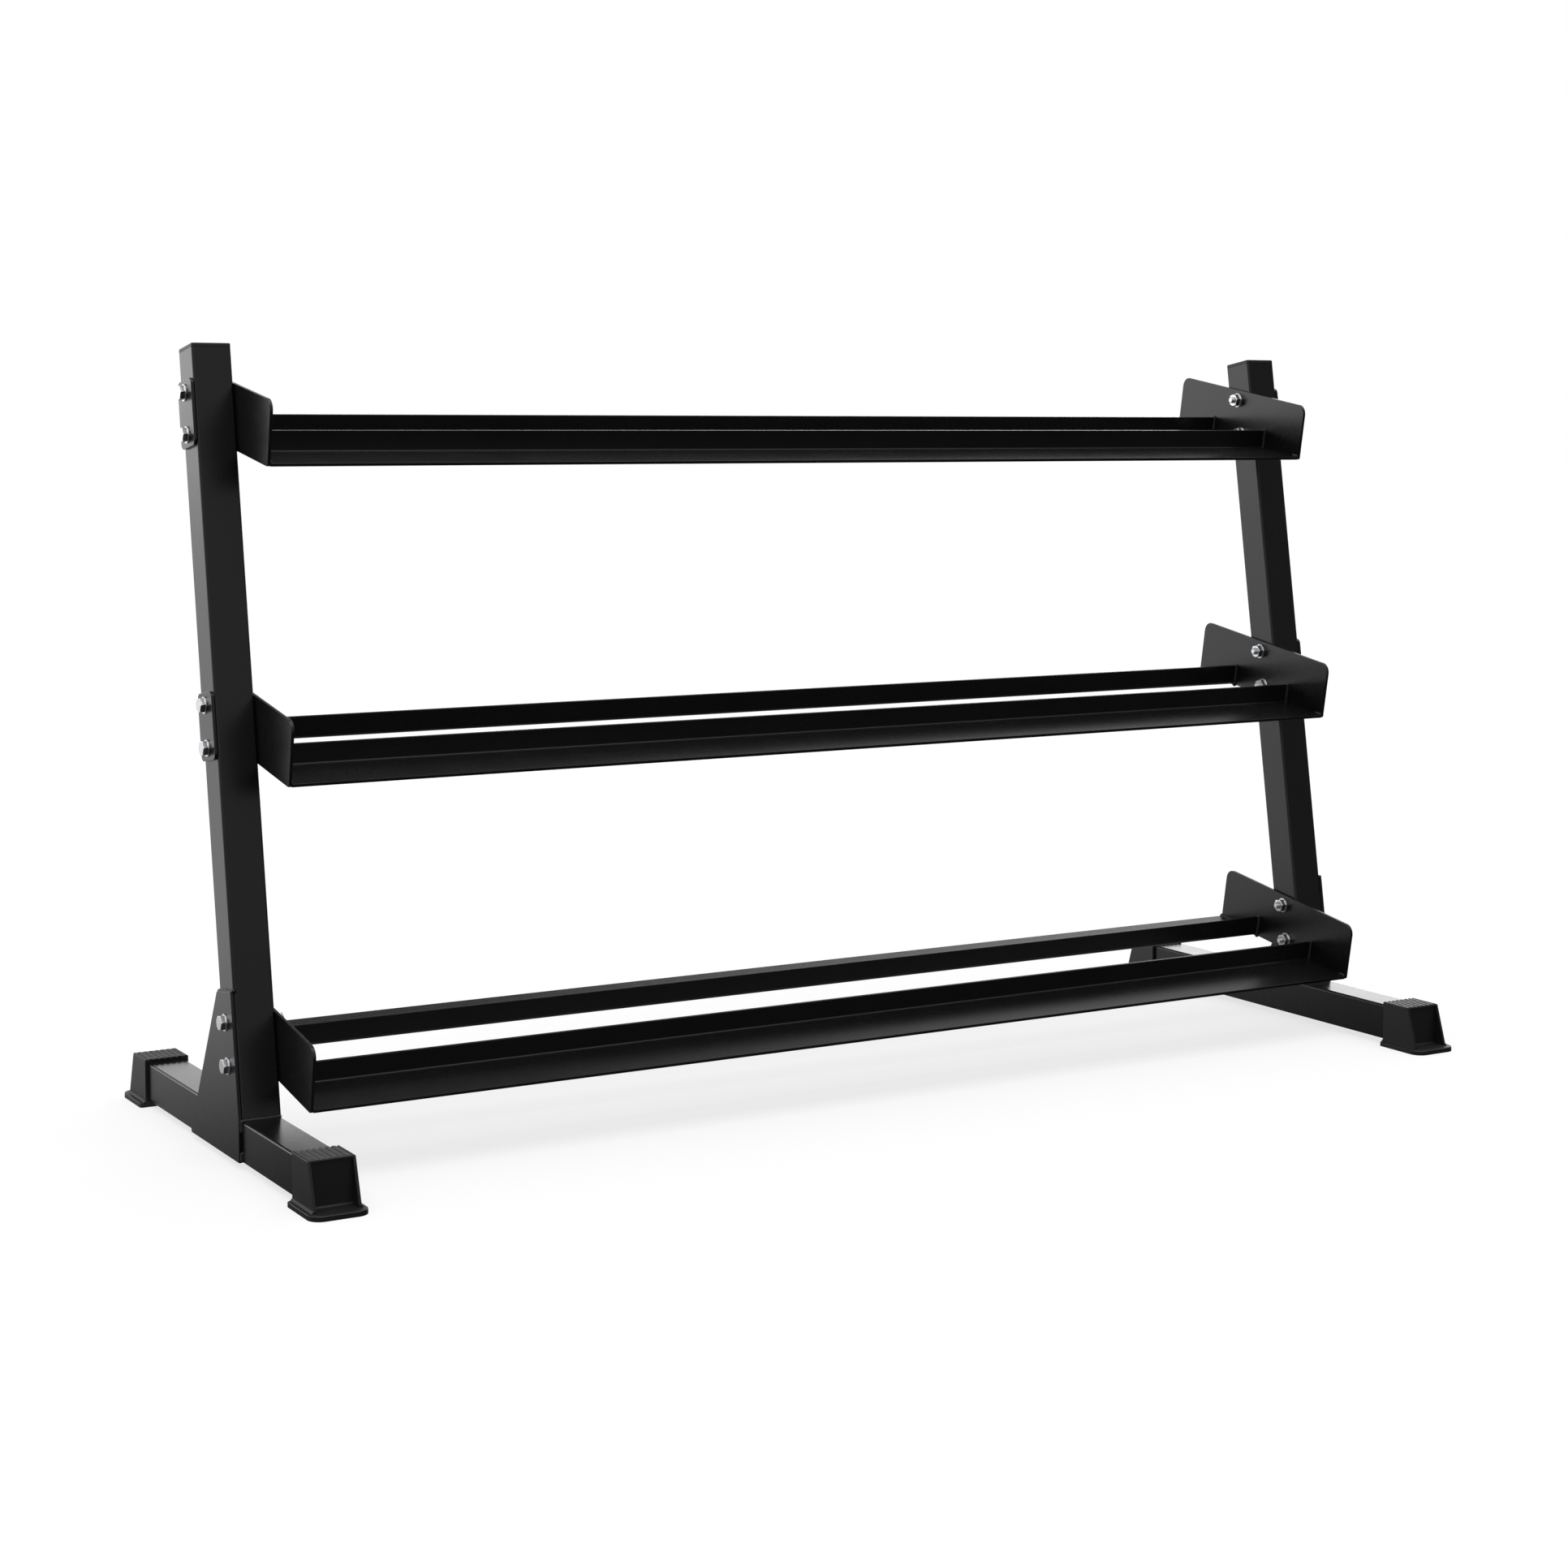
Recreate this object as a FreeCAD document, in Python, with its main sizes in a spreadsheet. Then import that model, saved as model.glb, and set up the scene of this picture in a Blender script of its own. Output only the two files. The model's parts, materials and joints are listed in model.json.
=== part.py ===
"""Three-tier dumbbell rack: a parametric FreeCAD document.

Two welded side frames (foot tube, leaning upright and gusset) carry three
shelves. Each shelf is a pair of steel angles welded between two end plates, and
each end plate is bolted through its upright by two hex bolts. The shelves tilt
so that their front edge is the lower one.

World axes: +X to the right of someone who faces the rack, -Y towards them, +Z up.
The origin is on the floor, in the middle of the rack.
Lengths are in millimetres and angles in degrees.
"""
import FreeCAD
import Part
import math
import os

import Sketcher
from FreeCAD import Placement, Rotation, Vector

# ---------------------------------------------------------------- driving sizes
SIZES = (
    # overall
    ("rack_width", 1700, "outside faces of the two uprights"),
    ("foot_length", 625, "foot tube, front to back"),
    ("upright_length", 937, "upright, along its front face"),
    ("upright_lean", 9, "backward lean of the uprights"),
    ("upright_set", 90, "front face of the upright, in front of the foot's middle"),
    # square tube
    ("tube_side", 50, "outside width of the square tube"),
    ("tube_wall", 2, "wall of the square tube"),
    ("tube_corner", 3, "outside corner radius of the square tube"),
    # shelves
    ("first_tier", 92, "bolt centre of the lowest shelf, up the upright"),
    ("tier_pitch", 383, "from one shelf to the next, up the upright"),
    ("shelf_tilt", 9.5, "forward tilt of the shelves"),
    ("plate_depth", 286, "end plate, front to back"),
    ("plate_height", 80, "end plate, height"),
    ("plate_thick", 4, "end plate, thickness"),
    ("plate_corner", 14, "end plate, radius of the top corners"),
    ("plate_toe", 3, "end plate, radius of the bottom corners"),
    ("flange_width", 85, "rail, flat flange on which the heads rest"),
    ("lip_height", 30, "rail, upright flange"),
    ("rail_thick", 4, "rail, thickness"),
    ("rail_bend", 2, "rail, inside radius of the bend"),
    # plates on the outside of the uprights
    ("backing_length", 83, "backing plate, up the upright"),
    ("backing_thick", 4, "backing plate and gusset, thickness"),
    ("backing_corner", 8, "backing plate, corner radius"),
    ("gusset_height", 155, "gusset, up the upright"),
    ("gusset_depth", 177, "gusset, along the bottom of the foot"),
    ("gusset_corner", 3, "gusset, corner radius"),
    # M10 bolts
    ("bolt_pitch", 52, "between the two bolts of one shelf end"),
    ("bolt_size", 10, "bolt shank diameter"),
    ("bolt_past_nut", 5, "bolt end that stands out of the nut"),
    ("bolt_chamfer", 1, "chamfer of the bolt end"),
    ("thread_depth", 0.75, "bolt end, from the crest of the thread to its root"),
    ("hex_flats", 17, "across flats, head and nut"),
    ("head_height", 6.4, "bolt head"),
    ("nut_height", 8, "nut"),
    ("washer_outside", 21, "washer outside diameter"),
    ("washer_thick", 2, "washer thickness"),
    ("hole_gap", 0.5, "bolt to hole, all round"),
    ("washer_gap", 0.25, "bolt to washer, all round"),
    ("nut_gap", 0.1, "bolt to nut, all round"),
    # plastic cap of an upright
    ("cap_thick", 5, "cap, part above the tube"),
    ("cap_edge", 1.5, "cap, rounding of the top edge"),
    ("plug_depth", 20, "cap, part inside the tube"),
    ("plug_wall", 2, "cap, wall of the part inside the tube"),
    ("plug_gap", 0.2, "cap to tube wall, all round"),
    # rubber boot on each end of a foot tube
    ("sole_thick", 8, "boot, sole under the foot tube"),
    ("boot_cover", 45, "boot, length of tube that it covers"),
    ("boot_side", 4, "boot, side wall"),
    ("boot_roof", 5, "boot, top wall"),
    ("boot_end", 4, "boot, end wall at the top"),
    ("boot_slant", 20, "boot, how far the end wall slopes out towards the floor"),
    ("boot_gap", 0.2, "boot to tube, sides and top"),
    ("boot_round", 2, "boot, rounding of the long top edges"),
    ("boot_recess", 1.5, "boot, how far its upright end panel lies under the roof's edge"),
    ("boot_brow", 2, "boot, edge of the roof above the end panel"),
    ("boot_rib", 3.5, "boot, thickness of the sloped ribs beside the end panel"),
    ("boot_cove", 3, "boot, hollow rounding at the foot of the end panel"),
    ("boot_skirt", 2.5, "boot, slope between its side walls and the sole"),
    ("groove_count", 7, "boot, saw-tooth grooves across its top"),
    ("groove_depth", 1.3, "boot, depth of a groove"),
    ("sole_rim", 6.5, "sole, thickness of the lip around the boot"),
    ("sole_side", 7, "sole, lip beyond each side wall"),
    ("sole_nose", 12, "sole, lip in front of the end wall"),
    ("sole_corner", 16, "sole, front corner radius"),
    ("sole_heel", 4, "sole, back corner radius"),
    ("sole_edge", 1.5, "sole, rounding of the lip's upper edge"),
)

doc = FreeCAD.newDocument("DumbbellRack")
sheet = doc.addObject("Spreadsheet::Sheet", "dims")
for row, (alias, value, meaning) in enumerate(SIZES, start=1):
    sheet.set(f"A{row}", alias)
    sheet.set(f"B{row}", str(value))
    sheet.set(f"C{row}", meaning)
    sheet.setAlias(f"B{row}", alias)
doc.recompute()


class Size:
    """A number together with the spreadsheet expression that gives it."""

    def __init__(self, text, value):
        self.text = text
        self.value = float(value)

    @staticmethod
    def of(other):
        return other if isinstance(other, Size) else Size(repr(other), other)

    def _join(self, sign, other, value):
        return Size(f"({self.text} {sign} {Size.of(other).text})", value)

    def __add__(self, other):
        return self._join("+", other, self.value + Size.of(other).value)

    def __sub__(self, other):
        return self._join("-", other, self.value - Size.of(other).value)

    def __mul__(self, other):
        return self._join("*", other, self.value * Size.of(other).value)

    def __truediv__(self, other):
        return self._join("/", other, self.value / Size.of(other).value)

    def __neg__(self):
        return Size(f"(0 - {self.text})", -self.value)


def sine(angle):
    return Size(f"sin({angle.text})", math.sin(math.radians(angle.value)))


def cosine(angle):
    return Size(f"cos({angle.text})", math.cos(math.radians(angle.value)))


D = {alias: Size(f"dims.{alias}", sheet.get(alias)) for alias, _, _ in SIZES}
ZERO = Size("0", 0)

# ------------------------------------------------------------- worked-out sizes
lean_sin, lean_cos = sine(D["upright_lean"]), cosine(D["upright_lean"])
tilt_sin, tilt_cos = sine(D["shelf_tilt"]), cosine(D["shelf_tilt"])
cross = D["upright_lean"] + D["shelf_tilt"]
cross_sin, cross_cos = sine(cross), cosine(cross)

outer_face = D["rack_width"] / 2
inner_face = outer_face - D["tube_side"]
tube_axis = outer_face - D["tube_side"] / 2
foot_top = D["sole_thick"] + D["tube_side"]
bolt_depth = D["tube_side"] / 2
hole_radius = D["bolt_size"] / 2 + D["hole_gap"]
plate_face = inner_face - D["plate_thick"]
TIERS = (("bottom", 0), ("middle", 1), ("top", 2))
SIDES = (("left", -1), ("right", 1))
BOLT_STEPS = (-1, 1)
GROOVE_BOTTOM = 0.15  # where a groove is deepest, as a share of its width
GROOVE_SHARE = 0.9  # width of a groove, as a share of its pitch
CUT_MARGIN = 1  # how far a cutting outline stands out of the face it cuts
CONE_START = 0.97  # where a hexagon's cone begins, as a share of half its flats
CONE_REACH = 0.7  # how far out the cone's outline goes, as a share of the flats
CONE_ANGLE = 30


def tier_height(step):
    """Bolt centre of a shelf, measured up the upright from the top of the foot."""
    return D["first_tier"] + D["tier_pitch"] * step


# -------------------------------------------------------------- drawing helpers
def body(label):
    made = doc.addObject("PartDesign::Body", label)
    made.Label = label
    return made


def place(item, x, y, z, tilt=None):
    """Puts an object at (x, y, z), turned about +X by tilt degrees."""
    item.Placement = Placement(Vector(0, 0, 0), Rotation(Vector(1, 0, 0), 0))
    for axis, size in zip("xyz", (x, y, z)):
        item.setExpression(f".Placement.Base.{axis}", size.text)
    if tilt is not None:
        item.Placement = Placement(Vector(0, 0, 0), Rotation(Vector(1, 0, 0), 1))
        item.setExpression(".Placement.Rotation.Angle", tilt.text)


def sketch(owner, role, name, offset=None):
    """A new sketch on one of the body's own origin planes, moved out by offset."""
    made = owner.newObject("Sketcher::SketchObject", name)
    found = [item for item in owner.Origin.OriginFeatures if item.Role == role]
    made.AttachmentSupport = [(found[0], "")]
    made.MapMode = "FlatFace"
    if offset is not None:
        made.setExpression(".AttachmentOffset.Base.z", offset.text)
    return made


def hold(made, kind, geometry, point, size):
    """Fixes one coordinate of a point to a size in the sheet."""
    index = made.addConstraint(Sketcher.Constraint(kind, -1, 1, geometry, point, size.value))
    made.setExpression(f"Constraints[{index}]", size.text)


def polygon(made, corners):
    """Closed outline whose corners are all held by the sheet."""
    first = made.GeometryCount
    count = len(corners)
    points = [Vector(x.value, y.value, 0) for x, y in corners]
    for step in range(count):
        made.addGeometry(Part.LineSegment(points[step], points[(step + 1) % count]), False)
    for step in range(count):
        after = first + (step + 1) % count
        made.addConstraint(Sketcher.Constraint("Coincident", first + step, 2, after, 1))
    for step, (x, y) in enumerate(corners):
        hold(made, "DistanceX", first + step, 1, x)
        hold(made, "DistanceY", first + step, 1, y)


def rectangle(made, left, bottom, right, top):
    polygon(made, ((left, bottom), (right, bottom), (right, top), (left, top)))


def circle(made, x, y, radius):
    index = made.addGeometry(
        Part.Circle(Vector(x.value, y.value, 0), Vector(0, 0, 1), radius.value), False
    )
    hold(made, "DistanceX", index, 3, x)
    hold(made, "DistanceY", index, 3, y)
    number = made.addConstraint(Sketcher.Constraint("Radius", index, radius.value))
    made.setExpression(f"Constraints[{number}]", radius.text)


def pad(owner, profile, length, middle=False, back=False):
    made = owner.newObject("PartDesign::Pad", profile.Name + "Pad")
    made.Profile = profile
    made.setExpression("Length", length.text)
    made.SideType = "Symmetric" if middle else "One side"
    made.Reversed = back
    doc.recompute()
    return made


def cut_through(owner, profile):
    """Pocket through the whole body, both ways from the sketch."""
    before = owner.Shape.Volume
    made = owner.newObject("PartDesign::Pocket", profile.Name + "Cut")
    made.Profile = profile
    made.Type = "ThroughAll"
    made.SideType = "Symmetric"
    doc.recompute()
    if not owner.Shape.Volume < before:
        raise RuntimeError(f"{made.Name} cut nothing")
    return made


def cut_to(owner, profile, depth, middle=False):
    """Pocket of a set depth, against the sketch's normal or half to each side of it."""
    before = owner.Shape.Volume
    made = owner.newObject("PartDesign::Pocket", profile.Name + "Cut")
    made.Profile = profile
    made.setExpression("Length", depth.text)
    made.SideType = "Symmetric" if middle else "One side"
    doc.recompute()
    if not owner.Shape.Volume < before:
        raise RuntimeError(f"{made.Name} cut nothing")
    return made


def same(one, other):
    return abs(one - other) < 1e-4


def straight_edges(shape, test):
    """Names of the straight edges that pass a test of their two ends."""
    names = []
    for number, edge in enumerate(shape.Edges, start=1):
        if len(edge.Vertexes) == 2 and isinstance(edge.Curve, Part.Line):
            ends = [vertex.Point for vertex in edge.Vertexes]
            if test(*ends):
                names.append(f"Edge{number}")
    return names


def fillet(owner, names, radius):
    base = owner.Tip
    before = base.Shape.Volume
    made = owner.newObject("PartDesign::Fillet", owner.Name + "Round")
    made.Base = (base, names)
    made.setExpression("Radius", radius.text)
    doc.recompute()
    if same(made.Shape.Volume, before):
        raise RuntimeError(f"{made.Name} rounded nothing")
    return made


def round_edges(owner, test, radius):
    return fillet(owner, straight_edges(owner.Tip.Shape, test), radius)


def runs_along(axis):
    """Test for edges parallel to an axis, given as the number 0, 1 or 2."""
    others = [index for index in range(3) if index != axis]

    def test(one, other):
        return all(same(one[index], other[index]) for index in others)

    return test


def edge_at(axis, spots):
    """Test for edges parallel to an axis that pass through one of the spots."""
    others = [index for index in range(3) if index != axis]
    parallel = runs_along(axis)

    def test(one, other):
        near = any(all(same(one[i], spot[n].value) for n, i in enumerate(others)) for spot in spots)
        return parallel(one, other) and near

    return test


def tube_profile(made, x, y):
    """Square tube section with its middle at (x, y)."""
    for half in (D["tube_side"] / 2, D["tube_side"] / 2 - D["tube_wall"]):
        rectangle(made, x - half, y - half, x + half, y + half)


def round_tube(owner, axis, x, y):
    """Rounds the outer and inner long edges of a tube."""
    inner = D["tube_corner"] - D["tube_wall"]
    for half, radius in (
        (D["tube_side"] / 2, D["tube_corner"]),
        (D["tube_side"] / 2 - D["tube_wall"], inner),
    ):
        spots = [(x + half * a, y + half * b) for a in (-1, 1) for b in (-1, 1)]
        round_edges(owner, edge_at(axis, spots), radius)


# -------------------------------------------------------------------- side frames
def foot_tube(side, sign):
    """Foot: a square tube along Y. The boots cover its two ends."""
    made = body(f"{side}_foot_tube")
    section = sketch(made, "XZ_Plane", f"{side}_foot_section")
    tube_profile(section, ZERO, ZERO)
    pad(made, section, D["foot_length"], middle=True)
    round_tube(made, 1, ZERO, ZERO)
    place(made, tube_axis * sign, ZERO, D["sole_thick"] + D["tube_side"] / 2)


def place_on_upright(made, x, up):
    """Frame of an upright: y is the depth behind its front face, z runs up it."""
    y = lean_sin * up - D["upright_set"]
    place(made, x, y, foot_top + lean_cos * up, tilt=-D["upright_lean"])


def upright_tube(side, sign):
    """Upright: mitred to sit on the foot, with two bolt holes for each shelf."""
    made = body(f"{side}_upright_tube")
    section = sketch(made, "XY_Plane", f"{side}_upright_section")
    tube_profile(section, ZERO, D["tube_side"] / 2)
    pad(made, section, D["upright_length"])
    round_tube(made, 2, ZERO, D["tube_side"] / 2)
    rise = D["tube_side"] * (lean_sin / lean_cos)
    wedge = sketch(made, "YZ_Plane", f"{side}_upright_mitre")
    polygon(wedge, ((ZERO, ZERO), (D["tube_side"], ZERO), (D["tube_side"], rise)))
    cut_through(made, wedge)
    holes = sketch(made, "YZ_Plane", f"{side}_upright_holes")
    for _, step in TIERS:
        for way in BOLT_STEPS:
            circle(holes, bolt_depth, tier_height(step) + D["bolt_pitch"] / 2 * way, hole_radius)
    cut_through(made, holes)
    place_on_upright(made, tube_axis * sign, ZERO)


def gusset_plate(side, sign):
    """Gusset: outside the joint of upright and foot, under the lowest bolts."""
    made = body(f"{side}_gusset_plate")
    up, side_width = D["gusset_height"], D["tube_side"]
    front = (lean_sin * up, lean_cos * up)
    rear = (front[0] + lean_cos * side_width, front[1] - lean_sin * side_width)
    corners = ((ZERO, -side_width), (D["gusset_depth"], -side_width), rear, front, (ZERO, ZERO))
    outline = sketch(made, "YZ_Plane", f"{side}_gusset_outline")
    polygon(outline, corners)
    for way in BOLT_STEPS:
        along = tier_height(0) + D["bolt_pitch"] / 2 * way
        y = lean_sin * along + lean_cos * bolt_depth
        z = lean_cos * along - lean_sin * bolt_depth
        circle(outline, y, z, hole_radius)
    pad(made, outline, D["backing_thick"], middle=True)
    round_edges(made, edge_at(0, (rear, front, corners[1])), D["gusset_corner"])
    x = (outer_face + D["backing_thick"] / 2) * sign
    place(made, x, -D["upright_set"], foot_top)


def top_cap(side, sign):
    """Plastic cap: a flat top as wide as the tube, with a hollow plug inside it."""
    made = body(f"{side}_top_cap")
    half = D["tube_side"] / 2
    flange = sketch(made, "XY_Plane", f"{side}_cap_flange")
    rectangle(flange, -half, ZERO, half, D["tube_side"])
    pad(made, flange, D["cap_thick"])
    spots = [(half * a, half + half * b) for a in (-1, 1) for b in (-1, 1)]
    round_edges(made, edge_at(2, spots), D["tube_corner"])
    upper = D["cap_thick"].value
    rim = [
        f"Edge{number}" for number, edge in enumerate(made.Tip.Shape.Edges, start=1)
        if all(same(vertex.Point.z, upper) for vertex in edge.Vertexes)
    ]
    fillet(made, rim, D["cap_edge"])
    outside = half - D["tube_wall"] - D["plug_gap"]
    plug = sketch(made, "XY_Plane", f"{side}_cap_plug")
    for reach in (outside, outside - D["plug_wall"]):
        rectangle(plug, -reach, half - reach, reach, half + reach)
    pad(made, plug, D["plug_depth"], back=True)
    spots = [(outside * a, half + outside * b) for a in (-1, 1) for b in (-1, 1)]
    round_edges(made, edge_at(2, spots), D["tube_corner"] - D["tube_wall"])
    place_on_upright(made, tube_axis * sign, D["upright_length"])


def boot_sole(made, tag, width, length):
    """Sole of a boot: a plate with rounded corners and a rounded upper edge."""
    outline = sketch(made, "XY_Plane", f"{tag}_sole")
    rectangle(outline, -width, ZERO, width, length)
    pad(made, outline, D["sole_rim"])
    round_edges(made, edge_at(2, ((-width, length), (width, length))), D["sole_corner"])
    round_edges(made, edge_at(2, ((-width, ZERO), (width, ZERO))), D["sole_heel"])
    rim = D["sole_rim"].value
    upper = [
        f"Edge{number}" for number, edge in enumerate(made.Tip.Shape.Edges, start=1)
        if all(same(vertex.Point.z, rim) for vertex in edge.Vertexes)
        and not all(same(vertex.Point.y, 0) for vertex in edge.Vertexes)
    ]
    fillet(made, upper, D["sole_edge"])


def boot_grooves(made, tag, half, roof):
    """Saw-tooth grooves along the roof of a boot, each steep on one side."""
    span = half * 2 - D["boot_round"] * 2
    tooth = span / D["groove_count"]
    outline = sketch(made, "XZ_Plane", f"{tag}_grooves")
    for number in range(int(D["groove_count"].value)):
        left = tooth * number - span / 2
        polygon(outline, (
            (left, roof + CUT_MARGIN),
            (left + tooth * GROOVE_BOTTOM, roof - D["groove_depth"]),
            (left + tooth * GROOVE_SHARE, roof + CUT_MARGIN),
        ))
    cut_through(made, outline)


def foot_boot(side, sign, end, way):
    """Rubber boot: sleeve, sole with a lip, open sloped end and a grooved top.

    In the boot's own frame the tube comes in along +Y at y = 0 and z = 0 is the floor.
    """
    made = body(f"{side}_{end}_foot_boot")
    tag = f"{side}_{end}_boot"
    half = D["tube_side"] / 2 + D["boot_side"]
    roof = foot_top + D["boot_roof"]
    rim = D["sole_rim"]
    top_end = D["boot_cover"] + D["boot_end"]
    low_end = top_end + D["boot_slant"]
    boot_sole(made, tag, half + D["sole_side"], low_end + D["sole_nose"])

    # walls: a block with a sloped end
    profile = sketch(made, "YZ_Plane", f"{tag}_profile")
    polygon(profile, ((ZERO, ZERO), (low_end, ZERO), (top_end, roof), (ZERO, roof)))
    pad(made, profile, half * 2, middle=True)
    skirt = sketch(made, "XZ_Plane", f"{tag}_skirt")
    wide = half + D["boot_skirt"]
    polygon(skirt, (
        (-wide, rim), (wide, rim), (half, rim + D["boot_skirt"]), (-half, rim + D["boot_skirt"]),
    ))
    pad(made, skirt, low_end - D["boot_slant"] * (rim / roof), back=True)
    side_tops = edge_at(1, ((-half, roof), (half, roof)))
    end_top = edge_at(0, ((top_end, roof),))
    round_edges(made, lambda *ends: side_tops(*ends) or end_top(*ends), D["boot_round"])
    boot_grooves(made, tag, half, roof)

    # upright panel between two sloped ribs
    panel = top_end - D["boot_recess"]
    beyond = low_end + D["boot_cove"]
    recess = sketch(made, "YZ_Plane", f"{tag}_recess")
    rectangle(recess, panel, rim, beyond, roof - D["boot_brow"])
    cut_to(made, recess, (half - D["boot_rib"]) * 2, middle=True)
    round_edges(made, edge_at(0, ((panel, rim),)), D["boot_cove"])

    # socket for the tube
    slack = D["tube_side"] / 2 + D["boot_gap"]
    socket = sketch(made, "XZ_Plane", f"{tag}_socket")
    rectangle(socket, -slack, D["sole_thick"], slack, foot_top + D["boot_gap"])
    cut_to(made, socket, D["boot_cover"])

    start = D["foot_length"] / 2 - D["boot_cover"]
    place(made, tube_axis * sign, start * way, ZERO)
    if way < 0:
        made.Placement = Placement(made.Placement.Base, Rotation(Vector(0, 0, 1), 180))


# ------------------------------------------------------------------------ shelves
def place_on_shelf(made, step, x):
    """Frame of a shelf: y runs back along its underside, z is square to it.

    The middle of the end plate lies on the middle of its pair of bolts.
    """
    up = tier_height(step)
    bolt_y = lean_sin * up + lean_cos * bolt_depth - D["upright_set"]
    bolt_z = foot_top + lean_cos * up - lean_sin * bolt_depth
    back, above = D["plate_depth"] / 2, D["plate_height"] / 2
    y = bolt_y - tilt_cos * back + tilt_sin * above
    z = bolt_z - tilt_sin * back - tilt_cos * above
    place(made, x, y, z, tilt=D["shelf_tilt"])


def end_plate(tier, step, side, sign):
    """End plate: bolted flat against the inner face of the upright."""
    made = body(f"{tier}_shelf_{side}_end_plate")
    depth, height = D["plate_depth"], D["plate_height"]
    outline = sketch(made, "YZ_Plane", f"{tier}_{side}_plate_outline")
    rectangle(outline, ZERO, ZERO, depth, height)
    for way in BOLT_STEPS:
        along = D["bolt_pitch"] / 2 * way
        circle(outline, depth / 2 + cross_sin * along, height / 2 + cross_cos * along, hole_radius)
    pad(made, outline, D["plate_thick"], middle=True)
    round_edges(made, edge_at(0, ((ZERO, height), (depth, height))), D["plate_corner"])
    round_edges(made, edge_at(0, ((ZERO, ZERO), (depth, ZERO))), D["plate_toe"])
    place_on_shelf(made, step, (inner_face - D["plate_thick"] / 2) * sign)


def rail(tier, step, which):
    """Rail: a bent angle, its upright flange towards the middle of the shelf."""
    made = body(f"{tier}_shelf_{which}_rail")
    wide, high, thick = D["flange_width"], D["lip_height"], D["rail_thick"]
    if which == "front":
        outer, inner, edge = wide, wide - thick, ZERO
    else:
        edge = D["plate_depth"]
        outer, inner = edge - wide, edge - wide + thick
    section = sketch(made, "YZ_Plane", f"{tier}_{which}_rail_section")
    polygon(section, (
        (edge, ZERO), (outer, ZERO), (outer, high), (inner, high), (inner, thick), (edge, thick),
    ))
    pad(made, section, plate_face * 2, middle=True)
    round_edges(made, edge_at(0, ((inner, thick),)), D["rail_bend"])
    round_edges(made, edge_at(0, ((outer, ZERO),)), D["rail_bend"] + thick)
    place_on_shelf(made, step, ZERO)


def backing_plate(tier, step, side, sign):
    """Backing plate: under the two bolt heads, on the outside of the upright."""
    made = body(f"{tier}_{side}_backing_plate")
    half = D["backing_length"] / 2
    outline = sketch(made, "YZ_Plane", f"{tier}_{side}_backing_outline")
    rectangle(outline, ZERO, -half, D["tube_side"], half)
    for way in BOLT_STEPS:
        circle(outline, bolt_depth, D["bolt_pitch"] / 2 * way, hole_radius)
    pad(made, outline, D["backing_thick"], middle=True)
    spots = [(y, half * way) for y in (ZERO, D["tube_side"]) for way in (-1, 1)]
    round_edges(made, edge_at(0, spots), D["backing_corner"])
    place_on_upright(made, (outer_face + D["backing_thick"] / 2) * sign, tier_height(step))


# ---------------------------------------------------------------------- fasteners
head_face = outer_face + D["backing_thick"] + D["washer_thick"]
head_end = head_face + D["head_height"]
nut_face = plate_face - D["washer_thick"]
nut_end = nut_face - D["nut_height"]
bolt_end = nut_end - D["bolt_past_nut"]
LOWEST_BOLT = -(D["bolt_pitch"] / 2)


def axis_sketch(owner, name):
    """Sketch whose horizontal axis is the axis of the lowest bolt: x along it, y its radius."""
    made = sketch(owner, "XZ_Plane", name, offset=-bolt_depth)
    made.setExpression(".AttachmentOffset.Base.y", LOWEST_BOLT.text)
    return made


def turned(owner, kind, profile):
    """Revolution or groove of a profile about the bolt axis."""
    made = owner.newObject(f"PartDesign::{kind}", profile.Name + kind)
    made.Profile = profile
    made.ReferenceAxis = (profile, ["H_Axis"])
    made.Angle = 360
    doc.recompute()
    return made


def hexagon(owner, name, start, height):
    """Hexagonal prism about the bolt axis, a corner to the front."""
    made = sketch(owner, "YZ_Plane", name, offset=start)
    x, y = bolt_depth, LOWEST_BOLT
    flat = D["hex_flats"] / 2
    corner = D["hex_flats"] / math.sqrt(3)
    polygon(made, (
        (x - corner, y), (x - corner / 2, y - flat), (x + corner / 2, y - flat),
        (x + corner, y), (x + corner / 2, y + flat), (x - corner / 2, y + flat),
    ))
    return pad(owner, made, height)


def crown(owner, name, face, inward):
    """Takes the sharp corners off one end of a hexagon, as a cone does."""
    made = axis_sketch(owner, name)
    flat = D["hex_flats"] / 2 * CONE_START
    beyond = D["hex_flats"] * CONE_REACH
    drop = (beyond - flat) * math.tan(math.radians(CONE_ANGLE)) * inward
    polygon(made, ((face, flat), (face, beyond), (face + drop, beyond)))
    return turned(owner, "Groove", made)


def repeat_over_rack(owner, features):
    """Copies features to every bolt: the pairs, the tiers and both sides."""
    many = owner.newObject("PartDesign::MultiTransform", owner.Name + "Set")
    many.Originals = features
    axes = {item.Role: item for item in owner.Origin.OriginFeatures}
    steps = []
    for name, pitch, count in (("Pair", D["bolt_pitch"], 2), ("Tiers", D["tier_pitch"] * 2, 3)):
        line = owner.newObject("PartDesign::LinearPattern", owner.Name + name)
        line.Direction = (axes["Z_Axis"], [""])
        line.setExpression("Length", pitch.text)
        line.Occurrences = count
        steps.append(line)
    mirror = owner.newObject("PartDesign::Mirrored", owner.Name + "Sides")
    mirror.MirrorPlane = (axes["YZ_Plane"], [""])
    steps.append(mirror)
    many.Transformations = steps
    owner.Tip = many
    doc.recompute()
    place_on_upright(owner, ZERO, tier_height(0))


def group(label):
    """Body that may hold several separate solids."""
    made = body(label)
    made.AllowCompound = True
    return made


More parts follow.
